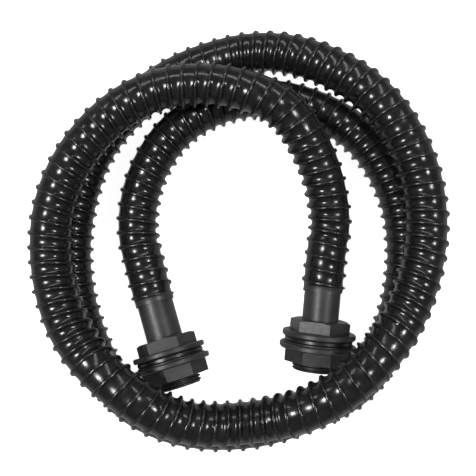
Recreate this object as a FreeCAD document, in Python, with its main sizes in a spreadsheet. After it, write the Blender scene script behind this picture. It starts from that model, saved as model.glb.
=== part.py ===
import FreeCAD, Part
import math
import os

import Sketcher

# A coiled spiral-ribbed hose with a threaded tank connector on each end. Millimetres.
# The origin is the middle of the coil on the surface that it lies on; +Z is up.
# End A and end B have the same connector: a moulded body pushed into the hose, a rubber
# gasket, a slip ring and a flanged back nut that screws along the body's thread.

SIZES = {
    # hose
    "hose_bore": 25.0,
    "hose_outer": 30.6,
    # connector body, from the hose outwards along its own axis
    "tail_outer": 25.0,
    "tail_grip": 20.0,
    "tail_lead": 1.0,
    "tail_open_a": 25.5,
    "tail_open_b": 19.5,
    "through_bore": 20.0,
    "hex_flats": 36.4,
    "hex_slope": 20.0,
    "hex_depth": 8.0,
    "flange_outer": 50.5,
    "flange_depth": 3.8,
    "rim_chamfer": 0.8,
    # G1 pipe thread
    "thread_major": 33.249,
    "thread_minor": 30.291,
    "thread_pitch": 2.309,
    "thread_root": 0.36,
    "thread_relief": 2.0,
    "thread_stand": 5.8,
    "thread_gap": 0.2,
    # loose rings on the thread
    "gasket_outer": 46.6,
    "gasket_depth": 3.4,
    "slip_outer": 47.6,
    "slip_depth": 1.0,
    "slip_chamfer": 0.2,
    # back nut
    "nut_flange_outer": 53.0,
    "nut_flange_depth": 3.8,
    "nut_flats": 44.0,
    "nut_depth": 8.8,
    "nut_edge": 0.4,
}

# Roll of the hexagon and of the octagon about each connector's axis, in degrees
BODY_ROLL = {"a": -30.0, "b": -12.0}
NUT_ROLL = {"a": 7.5, "b": 29.5}

# The hose's route, end A to end B: two and a half turns, the later ones on top
ROUTE = [
    (-58.1, -45.6, 23.1),
    (-65, -22.8, 20),
    (-73, 8, 16.5),
    (-66, 47, 15.5),
    (-41, 82.5, 15.5),
    (3, 101.5, 15.5),
    (49, 95.5, 15.5),
    (90, 73, 15.5),
    (115, 32, 15.5),
    (121, -14, 15.5),
    (113.5, -59.5, 15.5),
    (90.5, -103.5, 15.5),
    (48.5, -125.5, 15.5),
    (4, -138, 15.5),
    (-45.8, -135.2, 15.5),
    (-86.6, -112.1, 15.5),
    (-109.2, -68, 15.5),
    (-119.2, -23, 15.5),
    (-116.2, 23, 15.5),
    (-101, 67, 15.5),
    (-68, 102, 15.5),
    (-28.5, 124, 15.5),
    (19, 134.5, 16),
    (62.5, 120.5, 29),
    (98.5, 92, 40.5),
    (121.5, 49.5, 44),
    (127, 4, 47),
    (115, -42, 53.5),
    (89, -78, 65.5),
    (53, -107.5, 66),
    (10, -122, 51),
    (-36.5, -120.5, 62),
    (-75.5, -96, 69.5),
    (-110, -65, 54.5),
    (-125, -21, 47.5),
    (-123, 26, 47.5),
    (-100, 68, 47.5),
    (-63, 97, 48),
    (-17, 104, 48),
    (30, 90, 49),
    (55, 54, 36.5),
    (65, 15, 29),
    (60.6, -13.1, 29.2),
    (58.5, -37.1, 29.2),
]

# The hose is divided at the middle of these runs, into stretches of about half a turn
STRETCHES = [
    ("hose_end_a", 0, 7),
    ("hose_lower_bottom", 7, 15),
    ("hose_lower_left", 15, 22),
    ("hose_upper_right", 22, 29),
    ("hose_upper_left", 29, 36),
    ("hose_end_b", 36, 42),
]

ARC_SHARE = 0.45
VOLUME_SLACK = 0.01


def make_sheet(doc):
    """Put the driving dimensions in a spreadsheet, one named cell each."""
    sheet = doc.addObject("Spreadsheet::Sheet", "Sizes")
    for row, (alias, value) in enumerate(SIZES.items(), start=1):
        sheet.set(f"A{row}", alias)
        sheet.set(f"B{row}", str(value))
        sheet.setAlias(f"B{row}", alias)
    doc.recompute()
    return sheet


def origin_feature(body, role):
    """A plane or an axis of the body's own origin."""
    return next(item for item in body.Origin.OriginFeatures if item.Role == role)


def new_body(doc, label):
    body = doc.addObject("PartDesign::Body", label)
    body.Label = label
    return body


def new_sketch(body, name, plane="XY_Plane", lift=None):
    """A sketch on one of the body's origin planes, lifted along its normal by an expression."""
    sketch = body.newObject("Sketcher::SketchObject", name)
    sketch.AttachmentSupport = (origin_feature(body, plane), [""])
    sketch.MapMode = "FlatFace"
    if lift:
        sketch.setExpression("AttachmentOffset.Base.z", lift)
    return sketch


def add_circle(sketch, name, diameter):
    """A circle about the sketch's origin whose diameter follows an expression."""
    centre = FreeCAD.Vector(0, 0, 0)
    circle = sketch.addGeometry(Part.Circle(centre, FreeCAD.Vector(0, 0, 1), 10.0), False)
    sketch.addConstraint(Sketcher.Constraint("Coincident", circle, 3, -1, 1))
    sketch.addConstraint(Sketcher.Constraint("Diameter", circle, 20.0))
    index = sketch.ConstraintCount - 1
    sketch.renameConstraint(index, name)
    sketch.setExpression(f"Constraints.{name}", diameter)
    return circle


def add_closed_lines(sketch, corners):
    """Line segments joined end to end in a loop; returns their indexes."""
    lines = []
    for start, end in zip(corners, corners[1:] + corners[:1]):
        lines.append(sketch.addGeometry(Part.LineSegment(start, end), False))
    for line, following in zip(lines, lines[1:] + lines[:1]):
        sketch.addConstraint(Sketcher.Constraint("Coincident", line, 2, following, 1))
    return lines


def add_polygon(sketch, sides, across_flats):
    """A regular polygon about the origin, one corner on the sketch's x axis."""
    circle = add_circle(sketch, "across_corners", f"{across_flats} / cos(180 deg / {sides})")
    sketch.setConstruction(circle, True)
    turn = 2 * math.pi / sides
    corners = []
    for step in range(sides):
        corners.append(FreeCAD.Vector(10.0 * math.cos(step * turn), 10.0 * math.sin(step * turn), 0))
    lines = add_closed_lines(sketch, corners)
    for line in lines:
        sketch.addConstraint(Sketcher.Constraint("PointOnObject", line, 1, circle))
    for line in lines[1:]:
        sketch.addConstraint(Sketcher.Constraint("Equal", lines[0], line))
    sketch.addConstraint(Sketcher.Constraint("PointOnObject", lines[0], 1, -1))


def add_outline(sketch, points):
    """A closed outline whose corners (x, y) follow expressions."""
    corners = []
    for across, along in points:
        corners.append(FreeCAD.Vector(sketch.evalExpression(across), sketch.evalExpression(along), 0))
    lines = add_closed_lines(sketch, corners)
    for number, (line, corner, point) in enumerate(zip(lines, corners, points)):
        for kind, value, text in (("X", corner.x, point[0]), ("Y", corner.y, point[1])):
            if text == "0":
                sketch.addConstraint(Sketcher.Constraint("PointOnObject", line, 1, -2 if kind == "X" else -1))
                continue
            sketch.addConstraint(Sketcher.Constraint(f"Distance{kind}", -1, 1, line, 1, value))
            name = f"corner{number}_{kind.lower()}"
            sketch.renameConstraint(sketch.ConstraintCount - 1, name)
            sketch.setExpression(f"Constraints.{name}", text)


def add_pad(body, sketch, name, length):
    pad = body.newObject("PartDesign::Pad", name)
    pad.Profile = sketch
    pad.setExpression("Length", length)
    return pad


def add_turning(body, name, points):
    """A solid turned about the body's z axis from an outline of (radius, height) corners."""
    sketch = new_sketch(body, name + "_outline", "XZ_Plane")
    add_outline(sketch, points)
    turning = body.newObject("PartDesign::Revolution", name)
    turning.Profile = sketch
    turning.ReferenceAxis = (sketch, ["V_Axis"])
    turning.Angle = 360.0
    return turning


def chamfer_corners(body, name, flats, height, slope):
    """A conical cut that takes a hexagon's corners off its lower face, as on a turned bar."""
    inner = f"{flats} / 2 - 0.1"
    outer = f"{flats} / 2 * 1.2"
    sketch = new_sketch(body, name + "_outline", "XZ_Plane")
    add_outline(sketch, [
        (inner, f"{height} - 0.1"),
        (outer, f"{height} - 0.1"),
        (outer, f"{height} + ({flats} * 0.1 + 0.1) * tan({slope} * 1 deg)"),
        (inner, height),
    ])
    cut = body.newObject("PartDesign::Groove", name)
    cut.Profile = sketch
    cut.ReferenceAxis = (sketch, ["V_Axis"])
    cut.Angle = 360.0
    return cut


def add_bore(body, name, diameter, lift):
    """A round hole right through the body, upwards from a height."""
    sketch = new_sketch(body, name + "_circle", lift=lift)
    add_circle(sketch, "bore", diameter)
    pocket = body.newObject("PartDesign::Pocket", name)
    pocket.Profile = sketch
    pocket.Type = 1
    pocket.Reversed = True
    return pocket


def soften_edges(doc, body, name, radius, wanted):
    """Round the straight edges of the body's last shape that the test picks."""
    doc.recompute()
    base = body.Tip
    picked = []
    for number, edge in enumerate(base.Shape.Edges, start=1):
        if isinstance(edge.Curve, Part.Line) and wanted(edge):
            picked.append(f"Edge{number}")
    fillet = body.newObject("PartDesign::Fillet", name)
    fillet.Base = (base, picked)
    fillet.setExpression("Radius", radius)
    return fillet


def ring_points(inner, outer, bottom, top, rim):
    """The outline of a flat ring with its outer rims chamfered."""
    return [
        (inner, bottom),
        (f"{outer} - {rim}", bottom),
        (outer, f"{bottom} + {rim}"),
        (outer, f"{top} - {rim}"),
        (f"{outer} - {rim}", top),
        (inner, top),
    ]


def make_connector(doc, end):
    """The moulded body: hose tail, hexagon, fixed flange and threaded shank, with its bore.

    Its z axis runs out of the hose, and z = 0 is the hose's cut end.
    """
    body = new_body(doc, f"connector_{end}")
    tail = "Sizes.tail_outer / 2"
    shank = "Sizes.thread_major / 2"
    bore = "Sizes.through_bore / 2"
    open_tail = f"Sizes.tail_open_{end}"
    flange = "Sizes.flange_outer / 2"
    rim = "Sizes.rim_chamfer"
    under = f"{open_tail} + Sizes.hex_depth"
    seat = f"{under} + Sizes.flange_depth"
    tip = (f"{seat} + Sizes.gasket_depth + Sizes.slip_depth + Sizes.nut_flange_depth"
           " + Sizes.nut_depth + Sizes.thread_stand")
    add_turning(body, f"turned_{end}", [
        (bore, "-Sizes.tail_grip"),
        (f"{tail} - Sizes.tail_lead", "-Sizes.tail_grip"),
        (tail, "-Sizes.tail_grip + Sizes.tail_lead"),
        (tail, under),
        (f"{flange} - {rim}", under),
        (flange, f"{under} + {rim}"),
        (flange, f"{seat} - {rim}"),
        (f"{flange} - {rim}", seat),
        (shank, seat),
        (shank, f"{tip} - {rim}"),
        (f"{shank} - {rim}", tip),
        (bore, tip),
    ])
    hexagon = new_sketch(body, f"hexagon_{end}", lift=open_tail)
    add_polygon(hexagon, 6, "Sizes.hex_flats")
    add_pad(body, hexagon, f"hex_head_{end}", "Sizes.hex_depth")
    add_bore(body, f"waterway_{end}", "Sizes.through_bore", "-Sizes.tail_grip")
    doc.recompute()
    low = SIZES[f"tail_open_{end}"] - 0.01
    high = low + SIZES["hex_depth"] + 0.02
    soften_edges(doc, body, f"hex_edges_{end}", "Sizes.nut_edge", lambda edge: (
        low < edge.CenterOfMass.z < high and edge.BoundBox.ZMin < low + 0.02))
    chamfer_corners(body, f"hex_corners_{end}", "Sizes.hex_flats", open_tail, "Sizes.hex_slope")
    half_root = "Sizes.thread_root / 2"
    half_mouth = f"{half_root} + (Sizes.thread_major - Sizes.thread_minor + 0.6) / 2 * tan(27.5 deg)"
    start = f"{seat} + Sizes.thread_relief"
    groove = new_sketch(body, f"thread_groove_{end}", "XZ_Plane")
    add_outline(groove, [
        ("Sizes.thread_minor / 2", f"{start} - {half_root}"),
        ("Sizes.thread_major / 2 + 0.3", f"{start} - ({half_mouth})"),
        ("Sizes.thread_major / 2 + 0.3", f"{start} + {half_mouth}"),
        ("Sizes.thread_minor / 2", f"{start} + {half_root}"),
    ])
    thread = body.newObject("PartDesign::SubtractiveHelix", f"thread_{end}")
    thread.Profile = groove
    thread.ReferenceAxis = (groove, ["V_Axis"])
    thread.Mode = "pitch-height-angle"
    thread.setExpression("Pitch", "Sizes.thread_pitch")
    thread.setExpression("Height", f"{tip} + Sizes.thread_pitch - ({start})")
    return body


def make_ring(doc, label, outer, depth, rim):
    """A flat ring from z = 0 upwards that slips over the thread."""
    body = new_body(doc, label)
    clear = "Sizes.thread_major / 2 + Sizes.thread_gap"
    add_turning(body, label + "_turned", ring_points(clear, outer, "0", depth, rim))
    return body


def make_back_nut(doc, end):
    """The flanged octagonal nut, its flange's face at z = 0, with a clear bore over the thread."""
    body = new_body(doc, f"back_nut_{end}")
    clear = "Sizes.thread_major / 2 + Sizes.thread_gap"
    add_turning(body, f"nut_flange_{end}", ring_points(
        clear, "Sizes.nut_flange_outer / 2", "0", "Sizes.nut_flange_depth", "Sizes.rim_chamfer"))
    octagon = new_sketch(body, f"octagon_{end}", lift="Sizes.nut_flange_depth")
    add_polygon(octagon, 8, "Sizes.nut_flats")
    add_pad(body, octagon, f"nut_head_{end}", "Sizes.nut_depth")
    add_bore(body, f"nut_bore_{end}", "Sizes.thread_major + 2 * Sizes.thread_gap", "-1 mm")
    low = SIZES["nut_flange_depth"]
    soften_edges(doc, body, f"nut_edges_{end}", "Sizes.nut_edge",
                 lambda edge: edge.CenterOfMass.z > low + 0.1)
    return body


def route_vectors():
    return [FreeCAD.Vector(*point) for point in ROUTE]


def connector_place(start, inner, reach, roll):
    """The placement that puts z along the line from inner to start, a reach beyond start.

    At no roll the local x axis is the upward one.
    """
    along = (start - inner).normalize()
    upward = FreeCAD.Vector(0, 0, 1)
    across = upward.cross(along).normalize()
    up = along.cross(across)
    turned = FreeCAD.Rotation(up, across, along, "ZXY")
    spin = FreeCAD.Rotation(FreeCAD.Vector(0, 0, 1), roll)
    return FreeCAD.Placement(start + along * reach, turned * spin)


def corner_arc(before, corner, after):
    """The tangent arc at a corner of the route: its first point, middle, last point and radius."""
    back = before - corner
    forth = after - corner
    reach = ARC_SHARE * min(back.Length, forth.Length)
    back.normalize()
    forth.normalize()
    half_turn = (math.pi - back.getAngle(forth)) / 2
    radius = reach / math.tan(half_turn)
    inward = (back + forth).normalize()
    centre = corner + inward * math.hypot(radius, reach)
    return corner + back * reach, centre - inward * radius, corner + forth * reach, radius


def tube_path(points, first_run, last_run):
    """Straight runs joined by tangent arcs, between the middles of two runs or the route's ends."""
    begin = points[0] if first_run == 0 else (points[first_run] + points[first_run + 1]) / 2
    last = len(points) - 2
    finish = points[-1] if last_run == last else (points[last_run] + points[last_run + 1]) / 2
    edges = []
    radii = []
    here = begin
    for number in range(first_run + 1, last_run + 1):
        start, middle, end, radius = corner_arc(*points[number - 1:number + 2])
        edges.append(Part.LineSegment(here, start).toShape())
        edges.append(Part.Arc(start, middle, end).toShape())
        radii.append(radius)
        here = end
    edges.append(Part.LineSegment(here, finish).toShape())
    return Part.Wire(edges), radii


def sweep_disc(path, radius):
    """A round solid of one radius along a path."""
    first = path.OrderedEdges[0]
    start = first.valueAt(first.FirstParameter)
    heading = first.tangentAt(first.FirstParameter)
    ring = Part.Wire(Part.makeCircle(radius, start, heading))
    return path.makePipeShell([ring], True, False)


def make_hose_stretch(doc, label, first_run, last_run):
    """One stretch of the hose: a plain tube over its ribs, with its bore."""
    sheet = doc.Sizes
    outer = sheet.hose_outer / 2
    inner = sheet.hose_bore / 2
    path, radii = tube_path(route_vectors(), first_run, last_run)
    tube = sweep_disc(path, outer).cut(sweep_disc(path, inner))
    if len(tube.Solids) == 1:
        tube = tube.Solids[0]
    expected = math.pi * (outer ** 2 - inner ** 2) * path.Length
    print(f"{label}: length {path.Length:.1f}, radii {[round(radius) for radius in radii]},"
          f" volume over section x length {tube.Volume / expected:.4f}")
    if abs(tube.Volume / expected - 1) > VOLUME_SLACK:
        raise ValueError(f"{label}: the tube's volume is wrong")
    stretch = doc.addObject("Part::Feature", label)
    stretch.Label = label
    stretch.Shape = tube
    return stretch, path.Length


def make_end(doc, end, start, inner):
    """All the pieces of one connector, each placed along the hose's end."""
    open_tail = SIZES[f"tail_open_{end}"]
    gasket_at = open_tail + SIZES["hex_depth"] + SIZES["flange_depth"]
    slip_at = gasket_at + SIZES["gasket_depth"]
    nut_at = slip_at + SIZES["slip_depth"]
    connector = make_connector(doc, end)
    gasket = make_ring(doc, f"gasket_{end}", "Sizes.gasket_outer / 2", "Sizes.gasket_depth",
                       "Sizes.rim_chamfer")
    slip = make_ring(doc, f"slip_ring_{end}", "Sizes.slip_outer / 2", "Sizes.slip_depth",
                     "Sizes.slip_chamfer")
    nut = make_back_nut(doc, end)
    doc.recompute()
    connector.Placement = connector_place(start, inner, 0.0, BODY_ROLL[end])
    gasket.Placement = connector_place(start, inner, gasket_at, 0.0)
    slip.Placement = connector_place(start, inner, slip_at, 0.0)
    nut.Placement = connector_place(start, inner, nut_at, NUT_ROLL[end])
    return [connector, gasket, slip, nut]


def check_and_export(doc, pieces):
    """Stop on any failed object or bad shape, then write one STEP file for each piece."""
    for item in doc.Objects:
        if "Invalid" in item.State or "Error" in item.State:
            raise ValueError(f"{item.Name} failed: {item.State}")
    for piece in pieces:
        shape = piece.Shape
        if shape.isNull() or not shape.isValid() or len(shape.Solids) != 1:
            raise ValueError(f"{piece.Label} is not one valid solid")
    os.makedirs("parts", exist_ok=True)
    for piece in pieces:
        piece.Shape.exportStep(f"parts/{piece.Label}.step")
        print(f"{piece.Label}: {piece.Shape.Volume / 1000:.2f} cm3")


def main():
    doc = FreeCAD.newDocument("VacuumHose")
    make_sheet(doc)
    points = route_vectors()
    pieces = []
    total = 0.0
    for label, first_run, last_run in STRETCHES:
        stretch, length = make_hose_stretch(doc, label, first_run, last_run)
        pieces.append(stretch)
        total += length
    print(f"hose length {total:.1f}")
    pieces += make_end(doc, "a", points[0], points[1])
    pieces += make_end(doc, "b", points[-1], points[-2])
    doc.recompute()
    check_and_export(doc, pieces)


main()
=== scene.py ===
"""A coiled spiral-ribbed hose with a threaded tank connector on each end.

The connectors, gaskets, slip rings and back nuts are the frame's own nodes, dressed here.
The hose is one mesh: a helical rib on a thin wall, made straight and then bent along its route.
Everything is in metres, in the frame's own axes: +Z up, the coil lying on Z = 0.
"""

import logging
import math
from dataclasses import dataclass, field
from enum import Enum
from typing import Any, Union

import bmesh
import bpy
import numpy as np
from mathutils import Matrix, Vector


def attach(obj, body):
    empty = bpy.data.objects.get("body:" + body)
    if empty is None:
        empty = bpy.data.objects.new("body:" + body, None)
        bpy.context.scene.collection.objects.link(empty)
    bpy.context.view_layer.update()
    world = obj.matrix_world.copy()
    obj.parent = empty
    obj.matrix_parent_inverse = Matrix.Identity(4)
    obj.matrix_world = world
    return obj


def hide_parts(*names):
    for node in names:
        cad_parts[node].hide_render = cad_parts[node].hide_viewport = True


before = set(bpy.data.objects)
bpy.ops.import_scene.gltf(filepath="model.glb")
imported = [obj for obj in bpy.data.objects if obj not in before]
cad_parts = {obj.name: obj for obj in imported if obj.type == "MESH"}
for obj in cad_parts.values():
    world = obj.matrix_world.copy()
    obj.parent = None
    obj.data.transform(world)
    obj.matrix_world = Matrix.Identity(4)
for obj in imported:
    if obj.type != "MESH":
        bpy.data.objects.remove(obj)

log = logging.getLogger("hose")

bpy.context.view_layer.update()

# The hose's route from end A to end B, two and a half turns with the later ones on top
ROUTE: list[tuple[float, float, float]] = [
    (-0.0581, -0.0456, 0.0231),
    (-0.065, -0.0228, 0.02),
    (-0.073, 0.008, 0.0165),
    (-0.066, 0.047, 0.0155),
    (-0.041, 0.0825, 0.0155),
    (0.003, 0.1015, 0.0155),
    (0.049, 0.0955, 0.0155),
    (0.09, 0.073, 0.0155),
    (0.115, 0.032, 0.0155),
    (0.121, -0.014, 0.0155),
    (0.1135, -0.0595, 0.0155),
    (0.0905, -0.1035, 0.0155),
    (0.0485, -0.1255, 0.0155),
    (0.004, -0.138, 0.0155),
    (-0.0458, -0.1352, 0.0155),
    (-0.0866, -0.1121, 0.0155),
    (-0.1092, -0.068, 0.0155),
    (-0.1192, -0.023, 0.0155),
    (-0.1162, 0.023, 0.0155),
    (-0.101, 0.067, 0.0155),
    (-0.068, 0.102, 0.0155),
    (-0.0285, 0.124, 0.0155),
    (0.019, 0.1345, 0.016),
    (0.0625, 0.1205, 0.029),
    (0.0985, 0.092, 0.0405),
    (0.1215, 0.0495, 0.044),
    (0.127, 0.004, 0.047),
    (0.115, -0.042, 0.0535),
    (0.089, -0.078, 0.0655),
    (0.053, -0.1075, 0.066),
    (0.01, -0.122, 0.051),
    (-0.0365, -0.1205, 0.062),
    (-0.0755, -0.096, 0.0695),
    (-0.11, -0.065, 0.0545),
    (-0.125, -0.021, 0.0475),
    (-0.123, 0.026, 0.0475),
    (-0.1, 0.068, 0.0475),
    (-0.063, 0.097, 0.048),
    (-0.017, 0.104, 0.048),
    (0.03, 0.09, 0.049),
    (0.055, 0.054, 0.0365),
    (0.065, 0.015, 0.029),
    (0.0606, -0.0131, 0.0292),
    (0.0585, -0.0371, 0.0292),
]


class HoseEnd(Enum):
    """The two ends of the hose, by the letter their nodes carry."""

    A = "a"
    B = "b"


class Attribute(Enum):
    """The hose mesh's own attributes, which its finish reads."""

    STRAIGHT = "straight"
    CREST = "crest"


# ---------------------------------------------------------------- shader building


Number = Union[float, "Value"]


@dataclass
class Value:
    """A number that comes out of a node, with Python's operators adding Math nodes.

    Args:
        shader: the node tree that the node belongs to.
        socket: the output socket that carries the number.
    """

    shader: "Nodes"
    socket: bpy.types.NodeSocket

    def _math(self, operation: str, first: Number, second: Number) -> "Value":
        """Adds a Math node that works on two numbers."""
        made = self.shader.node("ShaderNodeMath", {"operation": operation}, {0: first, 1: second})
        return Value(self.shader, made.outputs[0])

    def __add__(self, other: Number) -> "Value":
        """Value + number."""
        return self._math("ADD", self, other)

    __radd__ = __add__

    def __mul__(self, other: Number) -> "Value":
        """Value * number."""
        return self._math("MULTIPLY", self, other)

    __rmul__ = __mul__

    def __sub__(self, other: Number) -> "Value":
        """Value - number."""
        return self._math("SUBTRACT", self, other)

    def __rsub__(self, other: Number) -> "Value":
        """Number - value."""
        return self._math("SUBTRACT", other, self)

    def __abs__(self) -> "Value":
        """The value without its sign."""
        return self._math("ABSOLUTE", self, 0.0)


class Nodes:
    """A node tree, with a single method that makes any node."""

    def __init__(self, tree: bpy.types.NodeTree) -> None:
        """Keeps the tree.

        Args:
            tree: the material's or the world's node tree.
        """
        self.tree = tree

    def node(
        self, kind: str, settings: dict[str, Any] | None = None, inputs: dict[Any, Any] | None = None
    ) -> bpy.types.Node:
        """Makes a node.

        Args:
            kind: the node's type.
            settings: its settings, set before its sockets.
            inputs: its sockets' values, or the sockets or Values that they are linked to.

        Returns:
            The new node.
        """
        made = self.tree.nodes.new(kind)
        for name, value in (settings or {}).items():
            setattr(made, name, value)
        for key, value in (inputs or {}).items():
            self.feed(made.inputs[key], value)
        return made

    def feed(self, socket: bpy.types.NodeSocket, value: Any) -> None:
        """Sets a socket to a value, or links it to what makes the value. A colour has three numbers."""
        if isinstance(value, Value):
            self.tree.links.new(value.socket, socket)
        elif isinstance(value, bpy.types.NodeSocket):
            self.tree.links.new(value, socket)
        elif socket.type == "RGBA" and len(value) == 3:
            socket.default_value = (*value, 1.0)
        else:
            socket.default_value = value


class Shader(Nodes):
    """One material's node tree, round its Principled shader."""

    def __init__(self, name: str) -> None:
        """Starts the material.

        Args:
            name: the material's name.
        """
        self.material = bpy.data.materials.new(name)
        self.material.use_nodes = True
        super().__init__(self.material.node_tree)
        self.surface = self.tree.nodes["Principled BSDF"]

    def set(self, **inputs: Any) -> None:
        """Sets the Principled shader's sockets, named with underscores for spaces."""
        for name, value in inputs.items():
            self.feed(self.surface.inputs[name.replace("_", " ")], value)

    def place(self) -> bpy.types.NodeSocket:
        """Returns the piece's own Object coordinates."""
        return self.node("ShaderNodeTexCoord").outputs["Object"]

    def attribute(self, which: Attribute) -> bpy.types.Node:
        """Returns the node that reads one of the mesh's attributes."""
        return self.node("ShaderNodeAttribute", {"attribute_name": which.value})

    def noise(
        self, place: bpy.types.NodeSocket, scale: float, detail: float = 3.0, roughness: float = 0.55
    ) -> Value:
        """Makes a noise pattern.

        Args:
            place: the coordinates it reads.
            scale: how many blobs there are in a metre.
            detail: how many finer layers it has.
            roughness: how strong the finer layers are.

        Returns:
            The pattern's value, about 0.5 on average.
        """
        made = self.node(
            "ShaderNodeTexNoise",
            {"noise_dimensions": "3D"},
            {"Vector": place, "Scale": scale, "Detail": detail, "Roughness": roughness},
        )
        return Value(self, made.outputs[0])

    def spread(self, value: Value, low: float, high: float, start: float, end: float) -> Value:
        """Maps a value from low..high on to start..end, held at both ends."""
        made = self.node(
            "ShaderNodeMapRange",
            {"clamp": True, "interpolation_type": "SMOOTHSTEP"},
            {"Value": value, "From Min": low, "From Max": high, "To Min": start, "To Max": end},
        )
        return Value(self, made.outputs[0])

    def blend(self, factor: Number, first: Any, second: Any) -> bpy.types.NodeSocket:
        """Mixes two colours, or the sockets that carry them, by a factor."""
        made = self.node(
            "ShaderNodeMix",
            {"data_type": "RGBA"},
            {0: factor, 6: first, 7: second},
        )
        return made.outputs[2]

    def bump(
        self, height: Value, distance: float, strength: float = 1.0, below: Any = None
    ) -> bpy.types.NodeSocket:
        """Makes a bump.

        Args:
            height: the height pattern, 0 to 1.
            distance: the height of 1, in metres.
            strength: how much of it is used.
            below: the normal that it adds to.

        Returns:
            The bumped normal.
        """
        inputs = {"Height": height, "Distance": distance, "Strength": strength}
        if below is not None:
            inputs["Normal"] = below
        return self.node("ShaderNodeBump", {}, inputs).outputs["Normal"]


# ---------------------------------------------------------------- finishes


@dataclass(frozen=True)
class HoseVinyl:
    """Glossy black vinyl with a faintly uneven skin; a highlight is painted on the rib's crest and on
    both ends as a paler colour, and both are made a little rougher.

    Args:
        length: the hose's length.
        cuff: the length of each end band that carries the painted highlight.
        cuff_fade: the length over which that painted highlight and the extra roughness fade in.
        dark: its colour.
        light: its paler patches.
        painted_highlight: the paler colour painted on the rib's crest and on both end bands as a
            highlight.
        smooth: the least roughness.
        rough: the most roughness.
        clouds: how many paler patches there are in a metre.
        dimples: how many dimples there are in a metre.
        grains: how many grains there are in a metre.
        dimple_depth: how deep the dimples are, in metres.
        grain_depth: how deep the grains are, in metres.
        ior: its index of refraction.
    """

    length: float
    cuff: float = 0.0045
    cuff_fade: float = 0.001
    dark: tuple[float, float, float] = (0.0065, 0.0065, 0.0070)
    light: tuple[float, float, float] = (0.0125, 0.0125, 0.0130)
    # Paler colour painted on the rib's crest and both end bands as a highlight.
    painted_highlight: tuple[float, float, float] = (0.036, 0.036, 0.036)
    smooth: float = 0.17
    rough: float = 0.27
    clouds: float = 160.0
    dimples: float = 520.0
    grains: float = 2600.0
    dimple_depth: float = 0.00003
    grain_depth: float = 0.000012
    ior: float = 1.52

    def material(self) -> bpy.types.Material:
        """Returns the material."""
        shader = Shader("black_hose_vinyl")
        place = shader.attribute(Attribute.STRAIGHT).outputs["Vector"]
        crest = Value(shader, shader.attribute(Attribute.CREST).outputs["Fac"])
        along = shader.node("ShaderNodeSeparateXYZ", {}, {0: place}).outputs["Z"]
        from_middle = abs(Value(shader, along) - self.length / 2.0)
        inset = self.length / 2.0 - self.cuff
        # A highlight painted on the band at each end, which is also made rougher.
        cuff = shader.spread(from_middle, inset, inset + self.cuff_fade, 0.0, 1.0)
        cloud = shader.noise(place, self.clouds)
        skin = shader.noise(place, self.dimples, 2.0)
        grain = shader.noise(place, self.grains, 2.0)
        # A highlight painted along the rib's crest, broken up by the skin's noise; it also makes the
        # crest a little rougher.
        crest_highlight = shader.spread(crest * skin, 0.35, 0.7, 0.0, 1.0)
        tone = shader.blend(shader.spread(cloud, 0.3, 0.7, 0.0, 1.0), self.dark, self.light)
        # The base colour with the painted highlight's paler colour mixed in on the crest and the end
        # bands.
        painted_highlight = shader.blend(crest_highlight * 0.6 + cuff * 0.7, tone, self.painted_highlight)
        normal = shader.bump(skin, self.dimple_depth)
        normal = shader.bump(grain, self.grain_depth, below=normal)
        shader.set(
            Base_Color=painted_highlight,
            Roughness=shader.spread(cloud + crest_highlight * 0.2, 0.3, 0.8, self.smooth, self.rough) + cuff * 0.2,
            Normal=normal,
            IOR=self.ior,
        )
        return shader.material


@dataclass(frozen=True)
class MouldedPlastic:
    """Satin plastic or rubber with a fine spark grain and faint paler patches.

    Args:
        name: the material's name.
        dark: its colour.
        light: its paler patches.
        smooth: the least roughness.
        rough: the most roughness.
        grain: the depth of its grain, in metres.
        patches: how many paler patches there are in a metre.
        specks: how many coarse specks there are in a metre.
        grains: how many grains there are in a metre.
        ior: its index of refraction.
    """

    name: str
    dark: tuple[float, float, float]
    light: tuple[float, float, float]
    smooth: float
    rough: float
    grain: float = 0.00003
    patches: float = 70.0
    specks: float = 900.0
    grains: float = 4200.0
    ior: float = 1.5

    def material(self) -> bpy.types.Material:
        """Returns the material."""
        shader = Shader(self.name)
        place = shader.place()
        cloud = shader.noise(place, self.patches, 4.0)
        fine = shader.noise(place, self.specks, 3.0, 0.65)
        grain = shader.noise(place, self.grains, 2.0)
        tone = shader.spread(cloud * 0.6 + fine * 0.4, 0.35, 0.65, 0.0, 1.0)
        normal = shader.bump(fine, self.grain * 1.5)
        normal = shader.bump(grain, self.grain * 0.4, below=normal)
        shader.set(
            Base_Color=shader.blend(tone, self.dark, self.light),
            Roughness=shader.spread(fine, 0.3, 0.7, self.smooth, self.rough),
            Normal=normal,
            IOR=self.ior,
        )
        return shader.material


CONNECTOR_PLASTIC = MouldedPlastic(
    "charcoal_connector_plastic", (0.018, 0.018, 0.019), (0.032, 0.032, 0.033), 0.36, 0.50
)
GASKET_RUBBER = MouldedPlastic(
    "black_gasket_rubber", (0.008, 0.008, 0.008), (0.014, 0.014, 0.014), 0.26, 0.36, 0.00002
)
SLIP_PLASTIC = MouldedPlastic(
    "slip_ring_plastic", (0.016, 0.016, 0.017), (0.026, 0.026, 0.027), 0.36, 0.48, 0.00002
)


# ---------------------------------------------------------------- studio


@dataclass
class Softbox:
    """A rectangular soft light that points at the coil.

    Args:
        name: its name.
        place: where it stands.
        width: its width, along X.
        height: its height.
        power: its power in watts.
    """

    name: str
    place: tuple[float, float, float]
    width: float
    height: float
    power: float

    def build(self) -> None:
        """Makes the light."""
        data = bpy.data.lights.new(self.name, "AREA")
        data.shape = "RECTANGLE"
        data.size = self.width
        data.size_y = self.height
        data.energy = self.power
        light = bpy.data.objects.new(self.name, data)
        light.location = self.place
        light.rotation_euler = Vector(self.place).to_track_quat("Z", "Y").to_euler()
        bpy.context.scene.collection.objects.link(light)


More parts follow.
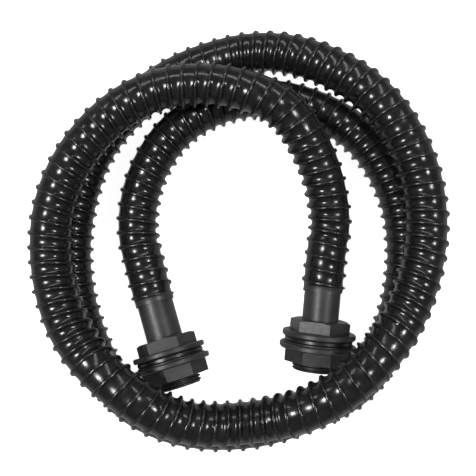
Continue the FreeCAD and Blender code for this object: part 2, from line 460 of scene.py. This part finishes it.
@dataclass
class Studio:
    """The camera over the coil, the pale floor and the lights.

    Args:
        camera_height: the camera's height over the floor.
        lens: the camera's focal length, in millimetres.
        sensor: the camera's sensor width, in millimetres.
        floor_side: the length of the floor's sides.
        floor_tone: how pale the floor is.
        floor_glow: how strongly it glows, so that it stays white under the coil.
        surround: how bright the surround is overhead.
        surround_below: how bright it is under the horizon, for what hangs over the floor.
        surround_fade: how far under the horizon it takes to reach that.
        softboxes: the soft lights.
    """

    camera_height: float = 0.4861
    lens: float = 50.0
    sensor: float = 36.0
    floor_side: float = 40.0
    floor_tone: float = 0.9
    floor_glow: float = 0.93
    surround: float = 0.15
    surround_below: float = 0.45
    surround_fade: float = 0.1
    softboxes: list[Softbox] = field(
        default_factory=lambda: [
            Softbox("softbox_left", (-0.62, -0.02, 1.02), 0.24, 0.24, 9.0),
            Softbox("softbox_right", (0.60, 0.02, 0.92), 0.20, 0.20, 4.5),
            Softbox("softbox_back", (0.0, 0.95, 0.85), 1.60, 0.12, 4.5),
        ]
    )

    def build_camera(self) -> None:
        """Makes the camera, which looks straight down on the middle of the coil."""
        data = bpy.data.cameras.new("camera")
        data.lens = self.lens
        data.sensor_width = self.sensor
        data.clip_start = 0.01
        camera = bpy.data.objects.new("camera", data)
        camera.location = (0.0, 0.0, self.camera_height)
        bpy.context.scene.collection.objects.link(camera)
        bpy.context.scene.camera = camera

    def build_floor(self) -> None:
        """Makes the pale floor."""
        bm = bmesh.new()
        bmesh.ops.create_grid(bm, x_segments=1, y_segments=1, size=self.floor_side / 2)
        mesh = bpy.data.meshes.new("floor")
        bm.to_mesh(mesh)
        bm.free()
        shader = Shader("pale_floor")
        tone = self.floor_tone
        shader.set(
            Base_Color=(tone, tone, tone),
            Roughness=0.8,
            Emission_Color=(1.0, 1.0, 1.0),
            Emission_Strength=self.floor_glow,
        )
        mesh.materials.append(shader.material)
        floor = bpy.data.objects.new("floor", mesh)
        floor.visible_glossy = False
        bpy.context.scene.collection.objects.link(floor)

    def build_lights(self) -> None:
        """Makes the softboxes and the dim surround, and shows colours as they are."""
        for softbox in self.softboxes:
            softbox.build()
        world = bpy.data.worlds.new("surround")
        world.use_nodes = True
        background = world.node_tree.nodes["Background"]
        nodes = Nodes(world.node_tree)
        direction = nodes.node("ShaderNodeTexCoord").outputs["Generated"]
        height = nodes.node("ShaderNodeSeparateXYZ", {}, {0: direction}).outputs["Z"]
        reach = {"From Min": -self.surround_fade, "From Max": 0.0}
        levels = {"To Min": self.surround_below, "To Max": self.surround}
        strength = nodes.node("ShaderNodeMapRange", {}, {"Value": height, **reach, **levels})
        nodes.feed(background.inputs["Color"], (1.0, 1.0, 1.0))
        nodes.feed(background.inputs["Strength"], strength.outputs[0])
        bpy.context.scene.world = world
        bpy.context.scene.view_settings.view_transform = "Standard"


# ---------------------------------------------------------------- hose


@dataclass
class Route:
    """The hose's centreline: a smooth spline whose control points are the route's.

    Args:
        controls: the control points.
        resolution: how many points each span of the spline is read at.
    """

    controls: list[tuple[float, float, float]]
    resolution: int = 16

    def points(self) -> np.ndarray:
        """Returns the points of the smooth line, one row each."""
        curve = bpy.data.curves.new("route", "CURVE")
        curve.dimensions = "3D"
        curve.resolution_u = self.resolution
        spline = curve.splines.new("NURBS")
        spline.points.add(len(self.controls) - 1)
        for point, place in zip(spline.points, self.controls):
            point.co = (*place, 1.0)
        spline.order_u = 3
        spline.use_endpoint_u = True
        holder = bpy.data.objects.new("route", curve)
        bpy.context.scene.collection.objects.link(holder)
        line = bpy.data.meshes.new_from_object(holder)
        places = np.array([vertex.co[:] for vertex in line.vertices])
        bpy.data.objects.remove(holder)
        bpy.data.curves.remove(curve)
        bpy.data.meshes.remove(line)
        return places


@dataclass
class Bend:
    """Carries a straight tube on to a line, with no twist of its own.

    Args:
        line: the line's points, one row each.
        up: the direction that the straight tube's +X starts nearest to.
    """

    line: np.ndarray
    up: tuple[float, float, float] = (0.0, 0.0, 1.0)

    def __post_init__(self) -> None:
        """Works out the length, the tangents, the carried frame and the curvature."""
        steps = np.linalg.norm(np.diff(self.line, axis=0), axis=1)
        self.along = np.concatenate([[0.0], np.cumsum(steps)])
        tangents = np.gradient(self.line, self.along, axis=0)
        self.tangents = tangents / np.linalg.norm(tangents, axis=1)[:, None]
        self.curves = np.gradient(self.tangents, self.along, axis=0)
        side = np.array(self.up) - self.tangents[0] * np.dot(self.up, self.tangents[0])
        sides = [side / np.linalg.norm(side)]
        for before, after in zip(self.tangents, self.tangents[1:]):
            turn = Vector(before).rotation_difference(Vector(after))
            carried = np.array(turn @ Vector(sides[-1]))
            carried -= after * np.dot(carried, after)
            sides.append(carried / np.linalg.norm(carried))
        self.sides = np.array(sides)

    @property
    def length(self) -> float:
        """The line's length."""
        return float(self.along[-1])

    def end_angle(self) -> float:
        """Returns the angle of the upward direction at the far end, in the carried frame."""
        other = np.cross(self.tangents[-1], self.sides[-1])
        return math.atan2(np.dot(self.up, other), np.dot(self.up, self.sides[-1]))

    def sample(self, rows: np.ndarray, along: np.ndarray) -> np.ndarray:
        """Returns the rows' values at the given lengths along the line."""
        return np.stack([np.interp(along, self.along, rows[:, axis]) for axis in range(3)], axis=1)

    def squeeze(self, places: np.ndarray) -> np.ndarray:
        """Returns how much the bend shortens the tube at each place, where 0.1 is a tenth."""
        curves = self.sample(self.curves, places[:, 2])
        return np.einsum("ij,ij->i", curves, self.across(places))

    def across(self, places: np.ndarray) -> np.ndarray:
        """Returns each straight place's offset from the line once it is bent."""
        tangents = self.sample(self.tangents, places[:, 2])
        tangents /= np.linalg.norm(tangents, axis=1)[:, None]
        sides = self.sample(self.sides, places[:, 2])
        sides /= np.linalg.norm(sides, axis=1)[:, None]
        others = np.cross(tangents, sides)
        return sides * places[:, :1] + others * places[:, 1:2]

    def carry(self, places: np.ndarray) -> np.ndarray:
        """Returns each straight place on the bent tube."""
        return self.sample(self.line, places[:, 2]) + self.across(places)


@dataclass
class RibbedHose:
    """The hose: a thin wall that sags between the turns of one round rib, wound left-handed.

    Args:
        bore: the bore's radius.
        foot: the wall's outer radius beside the rib.
        crest: the radius over the rib.
        rib: the rib's own radius.
        pitch: the distance from one turn of the rib to the next.
        sag: how deep the wall sags between turns where the hose is straight.
        least_sag: how deep it sags on the outside of a bend.
        slack: how much the sag squared grows with the squeeze, in square metres.
        first_rib: where the rib stands from end A, on top of the hose.
        last_rib: where it stands from end B.
        trimmed: the length of each end that has no rib.
        around: how many sides the hose has.
        rib_steps: how many steps the rib's arc has.
        wall_steps: how many steps the wall's arc has.
    """

    bore: float = 0.0125
    foot: float = 0.0138
    crest: float = 0.0153
    rib: float = 0.0013
    pitch: float = 0.0090
    sag: float = 0.00045
    least_sag: float = 0.0003
    slack: float = 0.00001
    first_rib: float = 0.0050
    last_rib: float = 0.0055
    trimmed: float = 0.0034
    around: int = 32
    rib_steps: int = 6
    wall_steps: int = 6

    def add_turn(self, bm: bmesh.types.BMesh) -> None:
        """Adds one turn: the rib's arc and the wall's sagging arc, swept round a screw line.

        Args:
            bm: the empty mesh to add to.
        """
        middle = self.crest - self.rib
        lean = math.asin(min(1.0, (middle - self.foot) / self.rib))
        half_rib = self.rib * math.cos(lean)
        start = bm.verts.new((middle - self.rib * math.sin(lean), 0.0, -half_rib))
        made = bmesh.ops.spin(
            bm,
            geom=[start],
            cent=(middle, 0.0, 0.0),
            axis=(0.0, 1.0, 0.0),
            angle=-(math.pi + 2.0 * lean),
            steps=self.rib_steps,
            use_duplicate=False,
        )
        last = next(item for item in made["geom_last"] if isinstance(item, bmesh.types.BMVert))
        half_gap = self.pitch / 2.0 - half_rib
        radius = (half_gap**2 + self.sag**2) / (2.0 * self.sag)
        bmesh.ops.spin(
            bm,
            geom=[last],
            cent=(last.co.x - self.sag + radius, 0.0, self.pitch / 2.0),
            axis=(0.0, 1.0, 0.0),
            angle=2.0 * math.asin(half_gap / radius),
            steps=self.wall_steps,
            use_duplicate=False,
        )
        bmesh.ops.spin(
            bm,
            geom=bm.verts[:] + bm.edges[:],
            cent=(0.0, 0.0, 0.0),
            axis=(0.0, 0.0, 1.0),
            dvec=(0.0, 0.0, self.pitch / self.around),
            angle=-2.0 * math.pi,
            steps=self.around,
            use_duplicate=False,
        )

    def add_turns(self, bm: bmesh.types.BMesh, length: float) -> None:
        """Repeats the turn by doubling, and cuts the tube square at both ends.

        Args:
            bm: the mesh that holds one turn.
            length: the tube's length.
        """
        bmesh.ops.translate(bm, verts=bm.verts, vec=(0.0, 0.0, self.first_rib - 2.0 * self.pitch))
        turns = 1
        while turns * self.pitch < length + 3.0 * self.pitch:
            copy = bmesh.ops.duplicate(bm, geom=bm.verts[:] + bm.edges[:] + bm.faces[:])
            verts = [item for item in copy["geom"] if isinstance(item, bmesh.types.BMVert)]
            bmesh.ops.translate(bm, verts=verts, vec=(0.0, 0.0, turns * self.pitch))
            turns *= 2
        for height, way in ((0.0, -1.0), (length, 1.0)):
            bmesh.ops.bisect_plane(
                bm,
                geom=bm.verts[:] + bm.edges[:] + bm.faces[:],
                plane_co=(0.0, 0.0, height),
                plane_no=(0.0, 0.0, way),
                clear_outer=True,
            )
        bmesh.ops.remove_doubles(bm, verts=bm.verts, dist=self.pitch * 0.002)

    def add_bore(self, bm: bmesh.types.BMesh, length: float) -> None:
        """Adds the bore and joins it to the outside at both cut ends.

        Args:
            bm: the mesh that holds the outside.
            length: the tube's length.
        """
        rings = math.ceil(length / self.pitch)
        ring = bmesh.ops.create_circle(bm, segments=self.around, radius=self.bore, cap_ends=False)
        first = list({edge for vert in ring["verts"] for edge in vert.link_edges})
        bmesh.ops.spin(
            bm,
            geom=first,
            cent=(0.0, 0.0, 0.0),
            axis=(0.0, 0.0, 1.0),
            dvec=(0.0, 0.0, length / rings),
            angle=0.0,
            steps=rings,
            use_duplicate=False,
        )
        open_edges = [edge for edge in bm.edges if edge.is_boundary]
        for height in (0.0, length):
            loop = [edge for edge in open_edges if abs(edge.verts[0].co.z - height) < self.pitch / 10.0]
            bmesh.ops.bridge_loops(bm, edges=loop)
        log.info("bore: %d rings of %d", rings, self.around)

    def build(self, route: Route) -> bpy.types.Object:
        """Args:
            route: its centreline.

        Returns:
            The hose.
        """
        bend = Bend(route.points())
        self.fit_pitch(bend)
        bm = bmesh.new()
        self.add_turn(bm)
        self.add_turns(bm, bend.length)
        self.add_bore(bm, bend.length)
        bmesh.ops.recalc_face_normals(bm, faces=bm.faces)
        mesh = bpy.data.meshes.new("hose")
        bm.to_mesh(mesh)
        bm.free()
        self.bend_mesh(mesh, bend)
        mesh.shade_smooth()
        mesh.set_sharp_from_angle(angle=math.radians(60.0))
        mesh.materials.append(HoseVinyl(bend.length).material())
        hose = bpy.data.objects.new("hose", mesh)
        bpy.context.scene.collection.objects.link(hose)
        self.declare(hose)
        log.info("hose: %.3f m, %d faces", bend.length, len(mesh.polygons))
        return hose

    def fit_pitch(self, bend: Bend) -> None:
        """Eases the pitch so that the last rib stands its own distance from the far end.

        Args:
            bend: the line that the hose lies along.
        """
        span = bend.length - self.first_rib - self.last_rib
        turns = round(span / self.pitch) - bend.end_angle() / (2.0 * math.pi)
        self.pitch = span / turns

    def bend_mesh(self, mesh: bpy.types.Mesh, bend: Bend) -> None:
        """Bends the straight mesh, lets the wall sag more where it is squeezed, and keeps
        the straight places and the rib's crest as attributes.

        Args:
            mesh: the straight tube.
            bend: the line that it is carried on to.
        """
        places = np.empty(len(mesh.vertices) * 3)
        mesh.vertices.foreach_get("co", places)
        places = places.reshape(-1, 3)
        radius = np.hypot(places[:, 0], places[:, 1])
        straight = mesh.attributes.new(Attribute.STRAIGHT.value, "FLOAT_VECTOR", "POINT")
        straight.data.foreach_set("vector", places.ravel())
        crest = mesh.attributes.new(Attribute.CREST.value, "FLOAT", "POINT")
        crest.data.foreach_set("value", np.clip((radius - self.foot) / (self.crest - self.foot), 0, 1))
        angle = np.arctan2(places[:, 1], places[:, 0])
        turn = (places[:, 2] - self.first_rib) / self.pitch + angle / (2.0 * math.pi)
        from_rib = np.abs(turn - np.round(turn)) * self.pitch
        gap = np.clip((from_rib - self.rib) / (self.pitch / 2.0 - self.rib), 0.0, 1.0)
        shape = 1.0 - (1.0 - gap) ** 2
        squeeze = bend.squeeze(places)
        sag = np.sqrt(np.maximum(self.least_sag**2, self.sag**2 + self.slack * squeeze))
        outside = radius > (self.bore + self.foot) / 2.0
        drop = np.where(outside, (sag - self.sag) * shape, 0.0)
        from_end = np.minimum(places[:, 2], bend.length - places[:, 2])
        ribless = outside & (from_end < self.trimmed)
        drop = np.where(ribless, np.maximum(drop, radius - self.foot), drop)
        scale = 1.0 - drop / radius
        places[:, 0] *= scale
        places[:, 1] *= scale
        mesh.vertices.foreach_set("co", bend.carry(places).ravel())
        mesh.update()

    def declare(self, hose: bpy.types.Object) -> None:
        """Hangs the hose on the root body and hides the frame's hose nodes, which it stands in for.

        Args:
            hose: the finished hose.
        """
        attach(hose, "root")
        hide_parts(*[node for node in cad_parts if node.startswith("hose_")])


# ---------------------------------------------------------------- connectors


@dataclass
class TankConnector:
    """The frame's own pieces on one end of the hose.

    Args:
        end: which end it is on.
    """

    end: HoseEnd

    def dress(self, finishes: dict[str, bpy.types.Material]) -> None:
        """Gives each piece its finish.

        Args:
            finishes: the material of each node, by the node's name without its letter.
        """
        for stem, material in finishes.items():
            name = f"{stem}_{self.end.value}"
            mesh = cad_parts[name].data
            mesh.materials.clear()
            mesh.materials.append(material)
            log.info("%s dressed in %s", name, material.name)


def main() -> None:
    """Builds the camera, the hose, the dressed connectors, the floor and the lights in order."""
    logging.basicConfig(level=logging.INFO, format="%(name)s: %(message)s")
    studio = Studio()
    studio.build_camera()
    RibbedHose().build(Route(ROUTE))
    plastic = CONNECTOR_PLASTIC.material()
    finishes = {
        "connector": plastic,
        "gasket": GASKET_RUBBER.material(),
        "slip_ring": SLIP_PLASTIC.material(),
        "back_nut": plastic,
    }
    for end in HoseEnd:
        TankConnector(end).dress(finishes)
    studio.build_floor()
    studio.build_lights()


if __name__ == "__main__":
    main()
